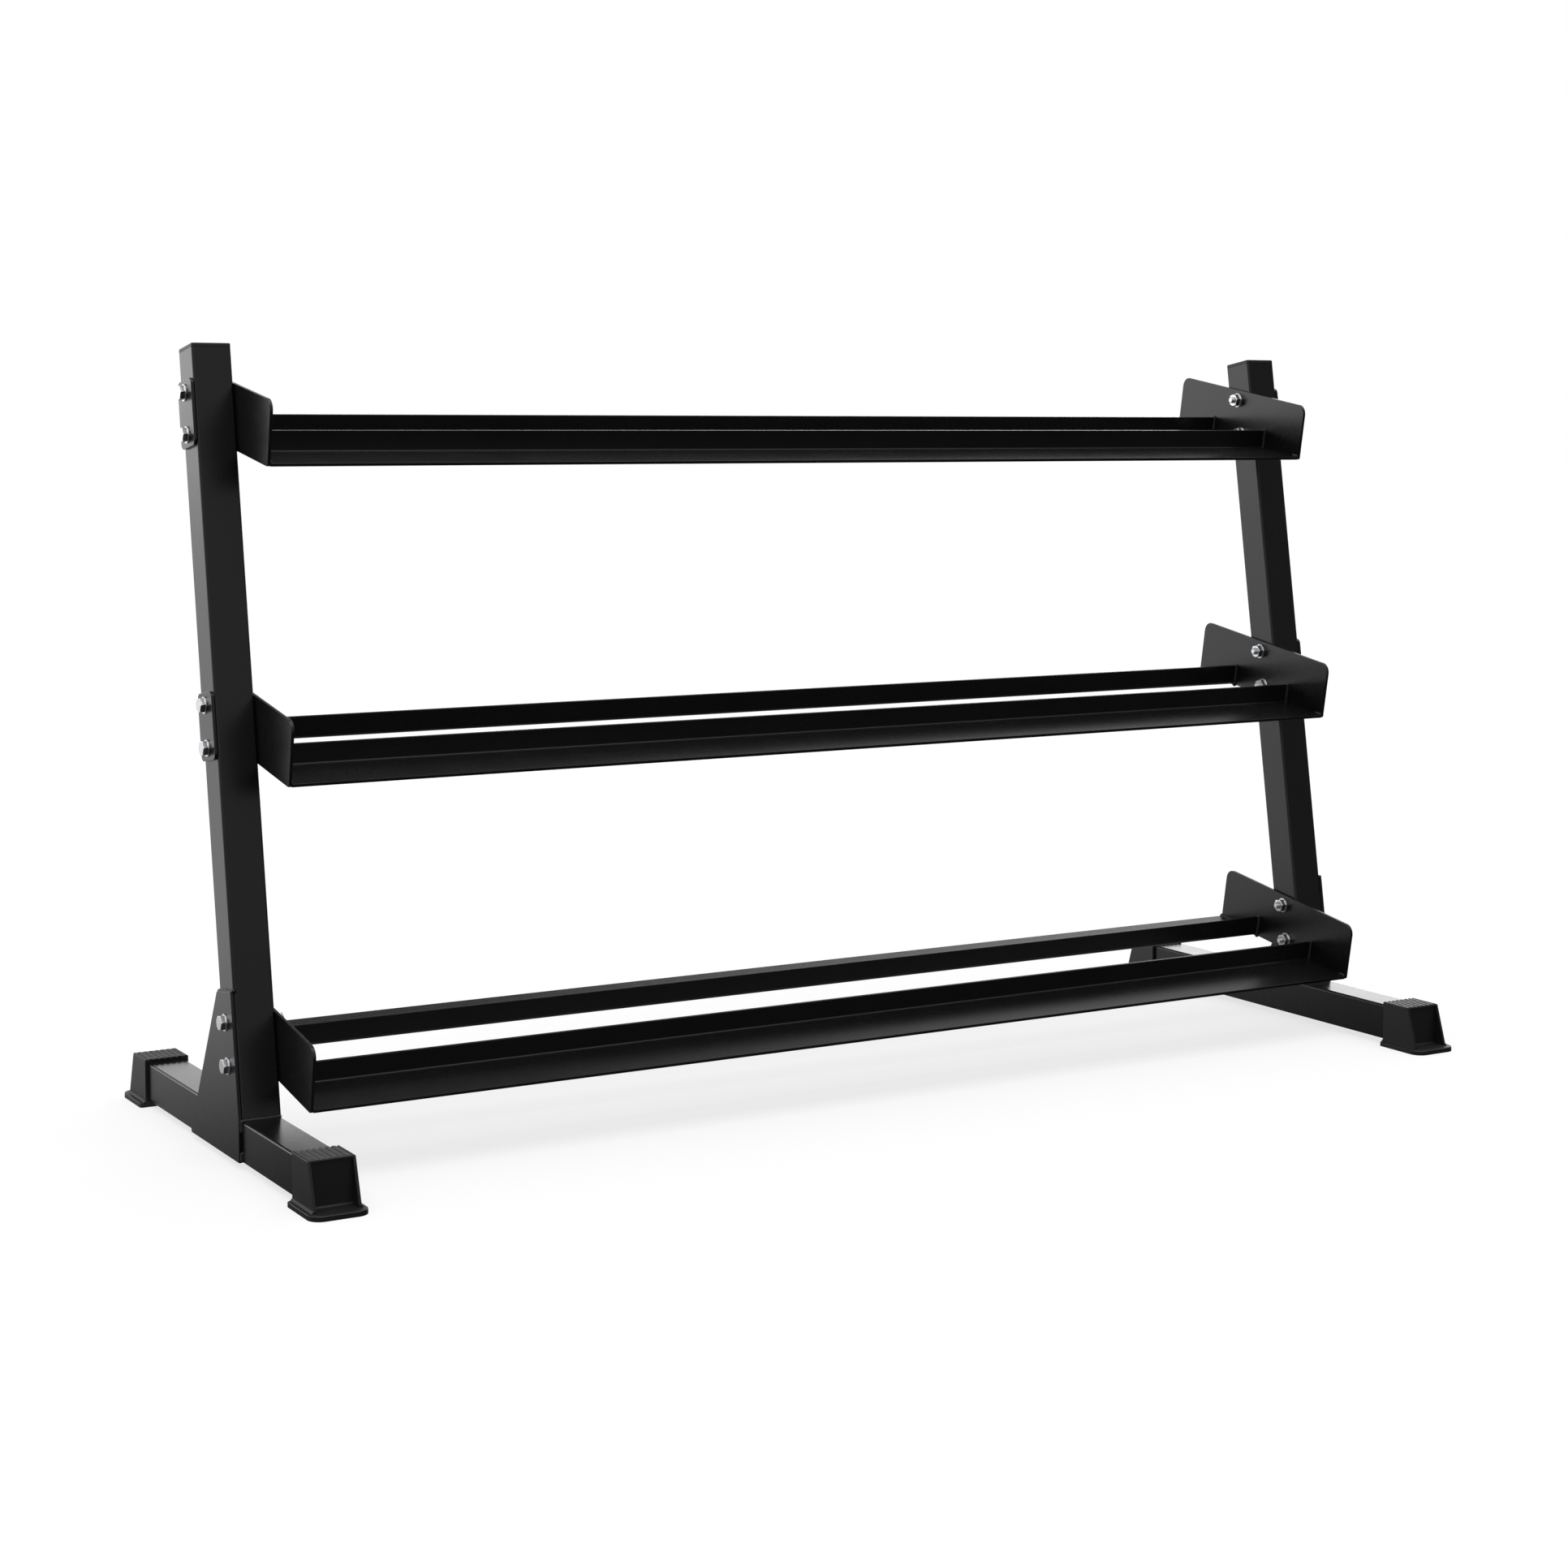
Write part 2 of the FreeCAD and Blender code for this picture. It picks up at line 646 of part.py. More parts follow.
def hex_bolts():
    made = group("hex_bolts")
    shank, chamfer = D["bolt_size"] / 2, D["bolt_chamfer"]
    root = shank - D["thread_depth"]
    head = hexagon(made, "bolt_head", head_face, D["head_height"])
    cone = crown(made, "bolt_crown", head_end, -1)
    profile = axis_sketch(made, "bolt_shank")
    polygon(profile, (
        (head_face, ZERO), (head_face, shank), (nut_end, shank), (nut_end, root),
        (bolt_end + chamfer, root), (bolt_end, root - chamfer), (bolt_end, ZERO),
    ))
    stem = turned(made, "Revolution", profile)
    repeat_over_rack(made, [head, cone, stem])


def hex_nuts():
    made = group("hex_nuts")
    block = hexagon(made, "nut_block", nut_end, D["nut_height"])
    cone = crown(made, "nut_crown", nut_end, 1)
    hole = axis_sketch(made, "nut_hole")
    bore = D["bolt_size"] / 2 + D["nut_gap"]
    polygon(hole, ((nut_end, ZERO), (nut_end, bore), (nut_face, bore), (nut_face, ZERO)))
    opening = turned(made, "Groove", hole)
    repeat_over_rack(made, [block, cone, opening])


def washers():
    made = group("flat_washers")
    profile = axis_sketch(made, "washer_pair")
    bore = D["bolt_size"] / 2 + D["washer_gap"]
    for start in (head_face - D["washer_thick"], nut_face):
        rectangle(profile, start, bore, start + D["washer_thick"], D["washer_outside"] / 2)
    ring = turned(made, "Revolution", profile)
    repeat_over_rack(made, [ring])


# --------------------------------------------------------------------- the rack
for side, sign in SIDES:
    foot_tube(side, sign)
    upright_tube(side, sign)
    gusset_plate(side, sign)
    top_cap(side, sign)
    foot_boot(side, sign, "front", -1)
    foot_boot(side, sign, "rear", 1)
for tier, step in TIERS:
    rail(tier, step, "front")
    rail(tier, step, "rear")
    for side, sign in SIDES:
        end_plate(tier, step, side, sign)
        if step > 0:
            backing_plate(tier, step, side, sign)
hex_bolts()
hex_nuts()
washers()
doc.recompute()

# ------------------------------------------------------------- check and export
for item in doc.Objects:
    if "Invalid" in item.State or "Error" in item.State:
        raise RuntimeError(f"{item.Label} failed: {item.State}")
parts = [item for item in doc.Objects if item.isDerivedFrom("PartDesign::Body")]
for item in parts:
    if item.Shape.isNull() or not item.Shape.isValid() or not item.Shape.Solids:
        raise RuntimeError(f"{item.Label} has no valid solid")
os.makedirs("parts", exist_ok=True)
for item in parts:
    item.Shape.exportStep(f"parts/{item.Label}.step")
    print(f"{item.Label}: {len(item.Shape.Solids)} solid(s), {item.Shape.Volume / 1000:.1f} cm3")
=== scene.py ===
"""Three-tier dumbbell rack: its weld beads, eased edges, threads, finishes and studio.

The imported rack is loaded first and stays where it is. The operators below add what is
made by hand around it and give every piece its finish. Lengths are in metres.

World axes: +X to the right of someone who faces the rack, -Y towards them, +Z up.
"""
import json
import math
import random

import bpy
from bpy.props import FloatProperty, FloatVectorProperty, IntProperty, PointerProperty
from mathutils import Matrix, Vector


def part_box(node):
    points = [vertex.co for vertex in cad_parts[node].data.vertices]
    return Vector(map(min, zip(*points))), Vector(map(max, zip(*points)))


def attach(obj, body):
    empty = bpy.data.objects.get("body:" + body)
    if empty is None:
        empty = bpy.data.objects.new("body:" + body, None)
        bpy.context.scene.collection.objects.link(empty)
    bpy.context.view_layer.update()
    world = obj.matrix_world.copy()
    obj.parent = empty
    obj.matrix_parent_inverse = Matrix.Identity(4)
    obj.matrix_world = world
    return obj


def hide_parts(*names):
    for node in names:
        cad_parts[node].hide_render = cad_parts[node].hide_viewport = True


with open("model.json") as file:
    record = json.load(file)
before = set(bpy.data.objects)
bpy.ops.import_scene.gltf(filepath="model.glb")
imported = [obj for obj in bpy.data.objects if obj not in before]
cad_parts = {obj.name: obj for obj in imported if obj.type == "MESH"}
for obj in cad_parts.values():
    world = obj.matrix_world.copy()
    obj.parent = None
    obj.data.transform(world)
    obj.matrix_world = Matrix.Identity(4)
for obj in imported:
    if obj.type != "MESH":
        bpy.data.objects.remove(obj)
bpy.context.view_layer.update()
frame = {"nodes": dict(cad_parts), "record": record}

bl_info = {
    "name": "Dumbbell rack",
    "version": (1, 0, 0),
    "blender": (4, 5, 0),
    "location": "3D View > Sidebar > Rack",
    "description": "Weld beads, eased edges, threads and finishes of a steel dumbbell rack",
    "category": "Add Mesh",
}

MM = 0.001
TIERS = ("bottom", "middle", "top")
SIDES = (("left", -1), ("right", 1))
ENDS = ("front", "rear")
SEAT_AXIS = next(m for m in frame["record"]["mounts"] if m["name"] == "top_front_seat")["axis"]
SHELF_TILT = math.atan2(-SEAT_AXIS[1], SEAT_AXIS[2])

# How edges are found and shaded when they are rounded.
SAME_POINT = 0.01 * MM
SAME_FACE = math.radians(0.5)
CAD_EDGE = math.radians(32)
SHARP_SHADE = math.radians(60)
# Nuts on one upright stand further apart than this.
NUT_GAP = 10 * MM
# Where the studio's brightness changes, from and to. The first five are parts of the
# direction seen from the rack: 1 is straight back, straight right or straight up.
BACK_WALL = (-0.2, 0.5)
WALL_FOOT = (0.2, 0.36)
WALL_RIGHT = (0.38, 0.62)
FRONT_RIGHT = (0.2, 0.75)
OVERHEAD = (0.55, 0.95)
FLOOR_BACK = (-0.5, 1.5)
# A ripple of a weld bead: shorter along the bead, and leaning along it.
RIPPLE_SQUASH = 0.85
RIPPLE_LEAN = math.radians(24)


# ------------------------------------------------------------------------- sizes
def length(name, description, default):
    """A size in metres for a property group."""
    return FloatProperty(
        name=name, description=description, default=default, min=0.0, precision=5,
        subtype="DISTANCE", unit="LENGTH",
    )


class RackShape(bpy.types.PropertyGroup):
    """What the pieces share."""

    upright_lean: FloatProperty(
        name="Upright lean", description="Backward lean of the uprights",
        default=math.radians(9), subtype="ANGLE", unit="ROTATION",
    )
    sheet: length("Sheet", "Thickness of the rails, plates and gussets", 4 * MM)
    steel_edge: length("Steel edge", "Rounding of the cut edges under the coating", 0.5 * MM)
    fastener_edge: length("Fastener edge", "Rounding of the bolts, nuts and washers", 0.2 * MM)
    boot_edge: length("Boot edge", "Rounding of the moulded boots", 0.6 * MM)
    thread_root: length("Thread root", "Radius at the root of the bolt thread", 4.28 * MM)
    thread_crest: length("Thread crest", "Radius at the crest of the thread", 4.95 * MM)
    thread_pitch: length("Thread pitch", "From one thread to the next", 1.3 * MM)
    thread_ridges: IntProperty(name="Ridges", description="Ridges outside a nut", default=3)


class WeldSizes(bpy.types.PropertyGroup):
    """The weld beads."""

    leg: length("Leg", "Radius of a fillet bead", 3.2 * MM)
    seam: length("Seam", "Radius of a bead in a flush seam", 2.4 * MM)
    flush: length("Flush bead", "Radius of the beads under and behind the shelves", 1.4 * MM)
    short: length("Short bead", "Length of the tacks at free corners", 11 * MM)
    long: length("Long bead", "Length of the beads on the rear flanges", 34 * MM)
    pitch: length("Ripple pitch", "From one ripple to the next", 2.2 * MM)
    uneven: length("Unevenness", "How far the bead wanders", 0.9 * MM)
    grain: length("Unevenness size", "Size of the bead's lumps", 5 * MM)
    spatter: length("Spatter", "Largest drop beside a bead", 0.8 * MM)
    drops: IntProperty(name="Drops", description="Drops of spatter at each bead", default=3)


class Finish(bpy.types.PropertyGroup):
    """Colours of the finishes."""

    coat: FloatVectorProperty(
        name="Powder coat", description="Colour of the coated steel",
        default=(0.006, 0.006, 0.0063), subtype="COLOR", min=0.0, max=1.0,
    )
    coat_gloss: FloatProperty(
        name="Coat roughness", description="Roughness of the powder coat", default=0.26,
        min=0.0, max=1.0, subtype="FACTOR",
    )
    zinc: FloatVectorProperty(
        name="Zinc", description="Colour of the plated fasteners",
        default=(0.72, 0.73, 0.75), subtype="COLOR", min=0.0, max=1.0,
    )
    rubber: FloatVectorProperty(
        name="Rubber", description="Colour of the boots",
        default=(0.009, 0.009, 0.0093), subtype="COLOR", min=0.0, max=1.0,
    )
    plastic: FloatVectorProperty(
        name="Plastic", description="Colour of the top caps",
        default=(0.012, 0.012, 0.0125), subtype="COLOR", min=0.0, max=1.0,
    )


class StudioSizes(bpy.types.PropertyGroup):
    """Camera, light and floor."""

    eye: FloatVectorProperty(
        name="Camera", description="Place of the camera", size=3,
        default=(-1.9724, -3.2726, 0.8909), subtype="XYZ", unit="LENGTH",
    )
    turn: FloatProperty(
        name="Turn", description="Camera turned to the right", default=math.radians(30.663),
        subtype="ANGLE", unit="ROTATION",
    )
    dip: FloatProperty(
        name="Dip", description="Camera tipped down", default=math.radians(3.978),
        subtype="ANGLE", unit="ROTATION",
    )
    roll: FloatProperty(
        name="Roll", description="Camera rolled", default=math.radians(0.09),
        subtype="ANGLE", unit="ROTATION",
    )
    lens: FloatProperty(name="Lens", description="Focal length in mm", default=64.605)
    shift: FloatVectorProperty(
        name="Shift", description="Lens shift of the framing", size=2,
        default=(-0.006, -0.1051),
    )
    floor_half: length("Floor", "Half the side of the floor", 40.0)
    key: FloatProperty(name="Key", description="Strength of the overhead light", default=0.3)
    key_back: FloatProperty(
        name="Key back", description="Overhead light tipped about +X",
        default=math.radians(-8), subtype="ANGLE", unit="ROTATION",
    )
    key_side: FloatProperty(
        name="Key side", description="Overhead light tipped about +Y",
        default=math.radians(-6), subtype="ANGLE", unit="ROTATION",
    )
    key_spread: FloatProperty(
        name="Key spread", description="Width of the overhead light as an angle",
        default=math.radians(50), subtype="ANGLE", unit="ROTATION",
    )
    ceiling: FloatProperty(name="Ceiling", description="Brightness overhead", default=1.2)
    back_low: FloatProperty(
        name="Back, low", description="Brightness low behind the rack", default=2.0
    )
    back_high: FloatProperty(
        name="Back, high", description="Brightness higher behind the rack", default=0.06
    )
    back_right: FloatProperty(
        name="Back, right", description="Brightness added high on the right", default=0.7
    )
    front: FloatProperty(
        name="Front", description="Brightness in front of the rack", default=0.5
    )
    floor_glow: FloatProperty(
        name="Floor glow", description="Light that the floor sends by itself", default=0.73
    )
    floor_shade: FloatProperty(
        name="Floor shade", description="How much of its light the floor reflects", default=0.3
    )
    floor_near: FloatProperty(
        name="Floor, near", description="Brightness of the near floor seen in the steel",
        default=0.04,
    )
    floor_far: FloatProperty(
        name="Floor, far", description="Brightness of the far floor seen in the steel",
        default=0.94,
    )


# ----------------------------------------------------------------- modelling aids
def deselect():
    bpy.ops.object.select_all(action="DESELECT")


def only(piece):
    """Makes the piece the one selected and active object."""
    deselect()
    piece.select_set(True)
    bpy.context.view_layer.objects.active = piece


def apply_all(piece):
    """Applies the piece's modifiers in order."""
    only(piece)
    for name in [modifier.name for modifier in piece.modifiers]:
        bpy.ops.object.modifier_apply(modifier=name)


def settle(piece):
    """Puts the piece's place into its mesh, so that its object stands at the origin."""
    only(piece)
    bpy.ops.object.transform_apply(location=True, rotation=True, scale=True)


def join(name, pieces):
    """Joins finished pieces into one that has the name."""
    deselect()
    for piece in pieces:
        piece.select_set(True)
    bpy.context.view_layer.objects.active = pieces[0]
    bpy.ops.object.join()
    pieces[0].name = name
    return pieces[0]


def finished(piece, finish):
    """Gives a piece its material and its ride on the rack."""
    piece.data.materials.clear()
    piece.data.materials.append(finish)
    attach(piece, "root")
    return piece


def turned_box(node, tilt):
    """Lowest and highest corner of a node in axes turned about +X by tilt."""
    turn = Matrix.Rotation(-tilt, 3, "X")
    points = [turn @ vertex.co for vertex in frame["nodes"][node].data.vertices]
    low = Vector([min(point[axis] for point in points) for axis in range(3)])
    high = Vector([max(point[axis] for point in points) for axis in range(3)])
    return low, high


def clusters(node, tilt):
    """The node's separate solids on each side, as points in axes turned about +X by tilt."""
    turn = Matrix.Rotation(-tilt, 3, "X")
    found = []
    for _, sign in SIDES:
        points = [turn @ v.co for v in frame["nodes"][node].data.vertices if v.co.x * sign > 0]
        points.sort(key=lambda point: point.z)
        solids = [[points[0]]]
        for before, point in zip(points, points[1:]):
            if point.z - before.z > NUT_GAP:
                solids.append([])
            solids[-1].append(point)
        found.append(solids)
    return found


def eased(node, radius, steps, finish):
    """Stands for a node with the same shape whose sharp edges are rounded."""
    mesh = frame["nodes"][node].data.copy()
    piece = bpy.data.objects.new(f"{node}_eased", mesh)
    bpy.context.scene.collection.objects.link(piece)
    only(piece)
    bpy.ops.mesh.customdata_custom_splitnormals_clear()
    bpy.ops.object.mode_set(mode="EDIT")
    bpy.ops.mesh.select_all(action="SELECT")
    bpy.ops.mesh.remove_doubles(threshold=SAME_POINT)
    bpy.ops.mesh.dissolve_limited(angle_limit=SAME_FACE)
    bpy.ops.object.mode_set(mode="OBJECT")
    bevel = piece.modifiers.new("edges", "BEVEL")
    bevel.width = radius
    bevel.segments = steps
    bevel.limit_method = "ANGLE"
    bevel.angle_limit = CAD_EDGE
    apply_all(piece)
    bpy.ops.object.shade_smooth_by_angle(angle=SHARP_SHADE)
    even = piece.modifiers.new("even", "WEIGHTED_NORMAL")
    even.keep_sharp = True
    apply_all(piece)
    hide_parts(node)
    return finished(piece, finish)


# ------------------------------------------------------------------------ finishes
class Signal:
    """The output of a shader node. Arithmetic on signals adds the Math nodes for it."""

    def __init__(self, tree, socket=None):
        self.tree = tree
        self.socket = socket

    def node(self, kind, settings=None, sockets=None, output=0):
        """Adds a node: its settings first, then the values or links of its sockets."""
        made = self.tree.nodes.new(kind)
        for name, value in (settings or {}).items():
            setattr(made, name, value)
        for name, value in (sockets or {}).items():
            if isinstance(value, Signal):
                self.tree.links.new(value.socket, made.inputs[name])
            else:
                made.inputs[name].default_value = value
        return Signal(self.tree, made.outputs[output]) if made.outputs else None

    def math(self, operation, first, second):
        return self.node("ShaderNodeMath", {"operation": operation}, {0: first, 1: second})

    def __add__(self, other):
        return self.math("ADD", self, other)

    __radd__ = __add__

    def __sub__(self, other):
        return self.math("SUBTRACT", self, other)

    def __rsub__(self, other):
        return self.math("SUBTRACT", other, self)

    def __mul__(self, other):
        return self.math("MULTIPLY", self, other)

    __rmul__ = __mul__

    def fade(self, start, end):
        """0 up to start, 1 from end on, and smooth between them."""
        return self.node(
            "ShaderNodeMapRange", {"interpolation_type": "SMOOTHSTEP"},
            {"Value": self, "From Min": start, "From Max": end},
        )


def shader_tree(name):
    """An empty material, a signal that starts its nodes, and its Object coordinates."""
    material = bpy.data.materials.new(name)
    material.use_nodes = True
    material.node_tree.nodes.clear()
    start = Signal(material.node_tree)
    place = start.node("ShaderNodeTexCoord", output=3)
    return material, start, place


def noise(place, size, detail, rough):
    """Noise from 0 to 1 whose lumps are about size metres across."""
    return place.node(
        "ShaderNodeTexNoise", None,
        {"Vector": place, "Scale": 1 / size, "Detail": detail, "Roughness": rough},
    )


def tinted(start, colour, factor):
    """A colour made lighter or darker by a factor that varies about 1."""
    # Sockets of the colour mix: 0 is its factor, 6 and 7 are the colours, output 2 is theirs.
    return start.node(
        "ShaderNodeMix", {"data_type": "RGBA", "blend_type": "MULTIPLY"},
        {0: 1.0, 6: (*colour, 1), 7: factor}, output=2,
    )


def surface(start, sockets):
    """Ends a material with one Principled shader."""
    shader = start.node("ShaderNodeBsdfPrincipled", None, sockets)
    start.node("ShaderNodeOutputMaterial", None, {"Surface": shader})


def bump(height, depth):
    """The normal of a relief whose full height is depth metres."""
    return height.node(
        "ShaderNodeBump", None, {"Strength": 1.0, "Distance": depth, "Height": height}
    )


def powder_coat(name, look):
    """Black satin powder coat: fine grain over a soft orange peel, a little uneven in gloss."""
    material, start, place = shader_tree(name)
    grain = noise(place, 0.5 * MM, 2.0, 0.6)
    peel = noise(place, 2.6 * MM, 1.0, 0.4)
    cloud = noise(place, 70 * MM, 3.0, 0.55)
    relief = grain * 0.45 + peel
    surface(start, {
        "Base Color": tinted(start, look.coat, cloud * 0.5 + grain * 0.3 + 0.6),
        "Roughness": look.coat_gloss - 0.05 + cloud * 0.06 + grain * 0.05,
        "Normal": bump(relief, 0.022 * MM),
    })
    return material


def bright_zinc(name, look):
    """Bright zinc plate: metallic, faintly clouded, with fine tool marks."""
    material, start, place = shader_tree(name)
    cloud = noise(place, 3 * MM, 3.0, 0.6)
    marks = noise(place, 0.35 * MM, 2.0, 0.7)
    surface(start, {
        "Base Color": tinted(start, look.zinc, cloud * 0.4 + 0.8),
        "Metallic": 1.0,
        "Roughness": cloud * 0.14 + marks * 0.08 + 0.12,
        "Normal": bump(marks * 0.4 + cloud, 0.03 * MM),
    })
    return material


def moulded(name, colour, roughness, grain_size):
    """Moulded rubber or plastic with a spark-eroded grain."""
    material, start, place = shader_tree(name)
    grain = noise(place, grain_size, 2.0, 0.6)
    cloud = noise(place, 40 * MM, 3.0, 0.6)
    surface(start, {
        "Base Color": tinted(start, colour, cloud * 0.5 + grain * 0.3 + 0.6),
        "Roughness": roughness - 0.08 + cloud * 0.08 + grain * 0.08,
        "Normal": bump(grain, 0.03 * MM),
    })
    return material


def finish(slot):
    """The material of a slot, made once."""
    name = f"{slot}_finish"
    if name in bpy.data.materials:
        return bpy.data.materials[name]
    look = bpy.context.scene.rack_finish
    if slot.endswith("powder_coat"):
        return powder_coat(name, look)
    if slot == "zinc_fasteners":
        return bright_zinc(name, look)
    if slot == "boot_rubber":
        return moulded(name, look.rubber, roughness=0.47, grain_size=0.6 * MM)
    return moulded(name, look.plastic, roughness=0.42, grain_size=0.5 * MM)


# --------------------------------------------------------------------------- welds
def bead(start, end, radius, rng):
    """A row of ripples from start to end, with a few drops of spatter beside it."""
    sizes = bpy.context.scene.rack_welds
    run = end - start
    deselect()
    bpy.ops.mesh.primitive_uv_sphere_add(segments=10, ring_count=6, radius=radius)
    row = bpy.context.active_object
    bpy.ops.object.mode_set(mode="EDIT")
    bpy.ops.transform.resize(value=(RIPPLE_SQUASH, 1, 1))
    bpy.ops.transform.rotate(value=RIPPLE_LEAN, orient_axis="Y", center_override=(0, 0, 0))
    bpy.ops.object.mode_set(mode="OBJECT")
    row.rotation_mode = "QUATERNION"
    row.rotation_quaternion = run.to_track_quat("X", "Z")
    row.location = start
    line = row.modifiers.new("ripples", "ARRAY")
    line.use_relative_offset = False
    line.use_constant_offset = True
    line.count = max(2, round(run.length / sizes.pitch) + 1)
    line.constant_offset_displace = (run.length / (line.count - 1), 0, 0)
    lumps = row.modifiers.new("uneven", "DISPLACE")
    lumps.texture = weld_texture(sizes.grain)
    lumps.texture_coords = "GLOBAL"
    lumps.strength = sizes.uneven
    apply_all(row)
    bpy.ops.object.shade_smooth()
    settle(row)
    drops = [drop(start + run * rng.random(), radius, rng) for _ in range(sizes.drops)]
    return [row, *drops]


def weld_texture(size):
    """Clouds that push a bead about, made once."""
    if "weld_lumps" not in bpy.data.textures:
        lumps = bpy.data.textures.new("weld_lumps", "CLOUDS")
        lumps.noise_scale = size
    return bpy.data.textures["weld_lumps"]


def drop(near, radius, rng):
    """A drop of spatter that touches the steel beside a bead."""
    reach = radius * rng.uniform(0.7, 1.2)
    angle = rng.uniform(0, math.tau)
    side = Vector((0, math.cos(angle), math.sin(angle))) * reach
    deselect()
    bpy.ops.mesh.primitive_ico_sphere_add(
        subdivisions=2, radius=bpy.context.scene.rack_welds.spatter * rng.uniform(0.4, 1),
        location=near + side,
    )
    made = bpy.context.active_object
    bpy.ops.object.shade_smooth()
    settle(made)
    return made


def turned(points, tilt):
    """Points given in axes turned about +X by tilt, in world axes."""
    turn = Matrix.Rotation(tilt, 3, "X")
    return [turn @ Vector(point) for point in points]


class RackOperator(bpy.types.Operator):
    """Shared settings of the rack's operators."""

    bl_options = {"REGISTER", "UNDO"}


class RACK_OT_ease_steel(RackOperator):
    """Round the cut edges of rails, plates and gussets, and coat the tubes"""

    bl_idname = "rack.ease_steel"
    bl_label = "Coat the steel"

    def execute(self, context):
        radius = context.scene.rack_shape.steel_edge
        for side, _ in SIDES:
            foot = frame["nodes"][f"{side}_foot_tube"]
            foot.material_slots[0].material = finish("frame_powder_coat")
            parts = [f"{side}_upright_tube", f"{side}_gusset_plate"]
            parts += [f"{tier}_{side}_backing_plate" for tier in TIERS[1:]]
            for node in parts:
                eased(node, radius, 2, finish("frame_powder_coat"))
        for tier in TIERS:
            nodes = [f"{tier}_shelf_{end}_rail" for end in ENDS]
            nodes += [f"{tier}_shelf_{side}_end_plate" for side, _ in SIDES]
            for node in nodes:
                eased(node, radius, 2, finish("shelf_powder_coat"))
        return {"FINISHED"}


class RACK_OT_ease_fasteners(RackOperator):
    """Round the edges of bolts, nuts and washers and plate them"""

    bl_idname = "rack.ease_fasteners"
    bl_label = "Plate the fasteners"

    def execute(self, context):
        radius = context.scene.rack_shape.fastener_edge
        for node in ("hex_bolts", "hex_nuts", "flat_washers"):
            eased(node, radius, 1, finish("zinc_fasteners"))
        return {"FINISHED"}


class RACK_OT_ease_mouldings(RackOperator):
    """Round the edges of the boots and finish the caps"""

    bl_idname = "rack.ease_mouldings"
    bl_label = "Finish the mouldings"

    def execute(self, context):
        radius = context.scene.rack_shape.boot_edge
        for side, _ in SIDES:
            eased(f"{side}_top_cap", radius, 2, finish("cap_plastic"))
            for end in ENDS:
                eased(f"{side}_{end}_foot_boot", radius, 3, finish("boot_rubber"))
        return {"FINISHED"}


class RACK_OT_thread_bolts(RackOperator):
    """Cut the threads on the bolt ends that stand out of the nuts"""

    bl_idname = "rack.thread_bolts"
    bl_label = "Thread the bolts"

    def execute(self, context):
        lean = -context.scene.rack_shape.upright_lean
        pattern = self.ridges(context.scene.rack_shape)
        ends = []
        for (_, sign), nuts in zip(SIDES, clusters("hex_nuts", lean)):
            for nut in nuts:
                end = pattern.copy()
                end.data = pattern.data.copy()
                context.scene.collection.objects.link(end)
                inner = min((point.x for point in nut), key=abs)
                middle = Vector((inner, *[
                    (min(p[axis] for p in nut) + max(p[axis] for p in nut)) / 2 for axis in (1, 2)
                ]))
                end.location = turned([middle], lean)[0]
                end.rotation_euler = (0, math.radians(-90) * sign, 0)
                settle(end)
                ends.append(end)
        bpy.data.objects.remove(pattern)
        finished(join("bolt_threads", ends), finish("zinc_fasteners"))
        return {"FINISHED"}

    def ridges(self, sizes):
        """The thread of one bolt end along +Z, with its nut's face at 0."""
        radius = hidden = sizes.thread_root * 0.9
        height = -sizes.thread_pitch / 4
        deselect()
        bpy.ops.mesh.primitive_circle_add(
            vertices=24, radius=hidden, fill_type="NGON", location=(0, 0, height)
        )
        piece = bpy.context.active_object
        settle(piece)
        bpy.ops.object.mode_set(mode="EDIT")
        bpy.ops.mesh.select_all(action="SELECT")
        # One pitch is a flank up, a flat crest, a flank down and a flat root.
        flank = sizes.thread_pitch * 0.4
        crest = sizes.thread_pitch * 0.1
        steps = [(0, sizes.thread_root)]
        for _ in range(sizes.thread_ridges):
            steps += [
                (flank, sizes.thread_crest), (crest, sizes.thread_crest),
                (flank, sizes.thread_root), (crest, sizes.thread_root),
            ]
        steps[-1] = (0, hidden)
        for rise, reach in steps:
            height += rise
            bpy.ops.mesh.extrude_region_move(TRANSFORM_OT_translate={"value": (0, 0, rise)})
            bpy.ops.transform.resize(
                value=(reach / radius, reach / radius, 1), center_override=(0, 0, height)
            )
            radius = reach
        bpy.ops.mesh.select_all(action="SELECT")
        bpy.ops.mesh.normals_make_consistent(inside=False)
        bpy.ops.object.mode_set(mode="OBJECT")
        bpy.ops.object.shade_smooth_by_angle(angle=CAD_EDGE)
        return piece


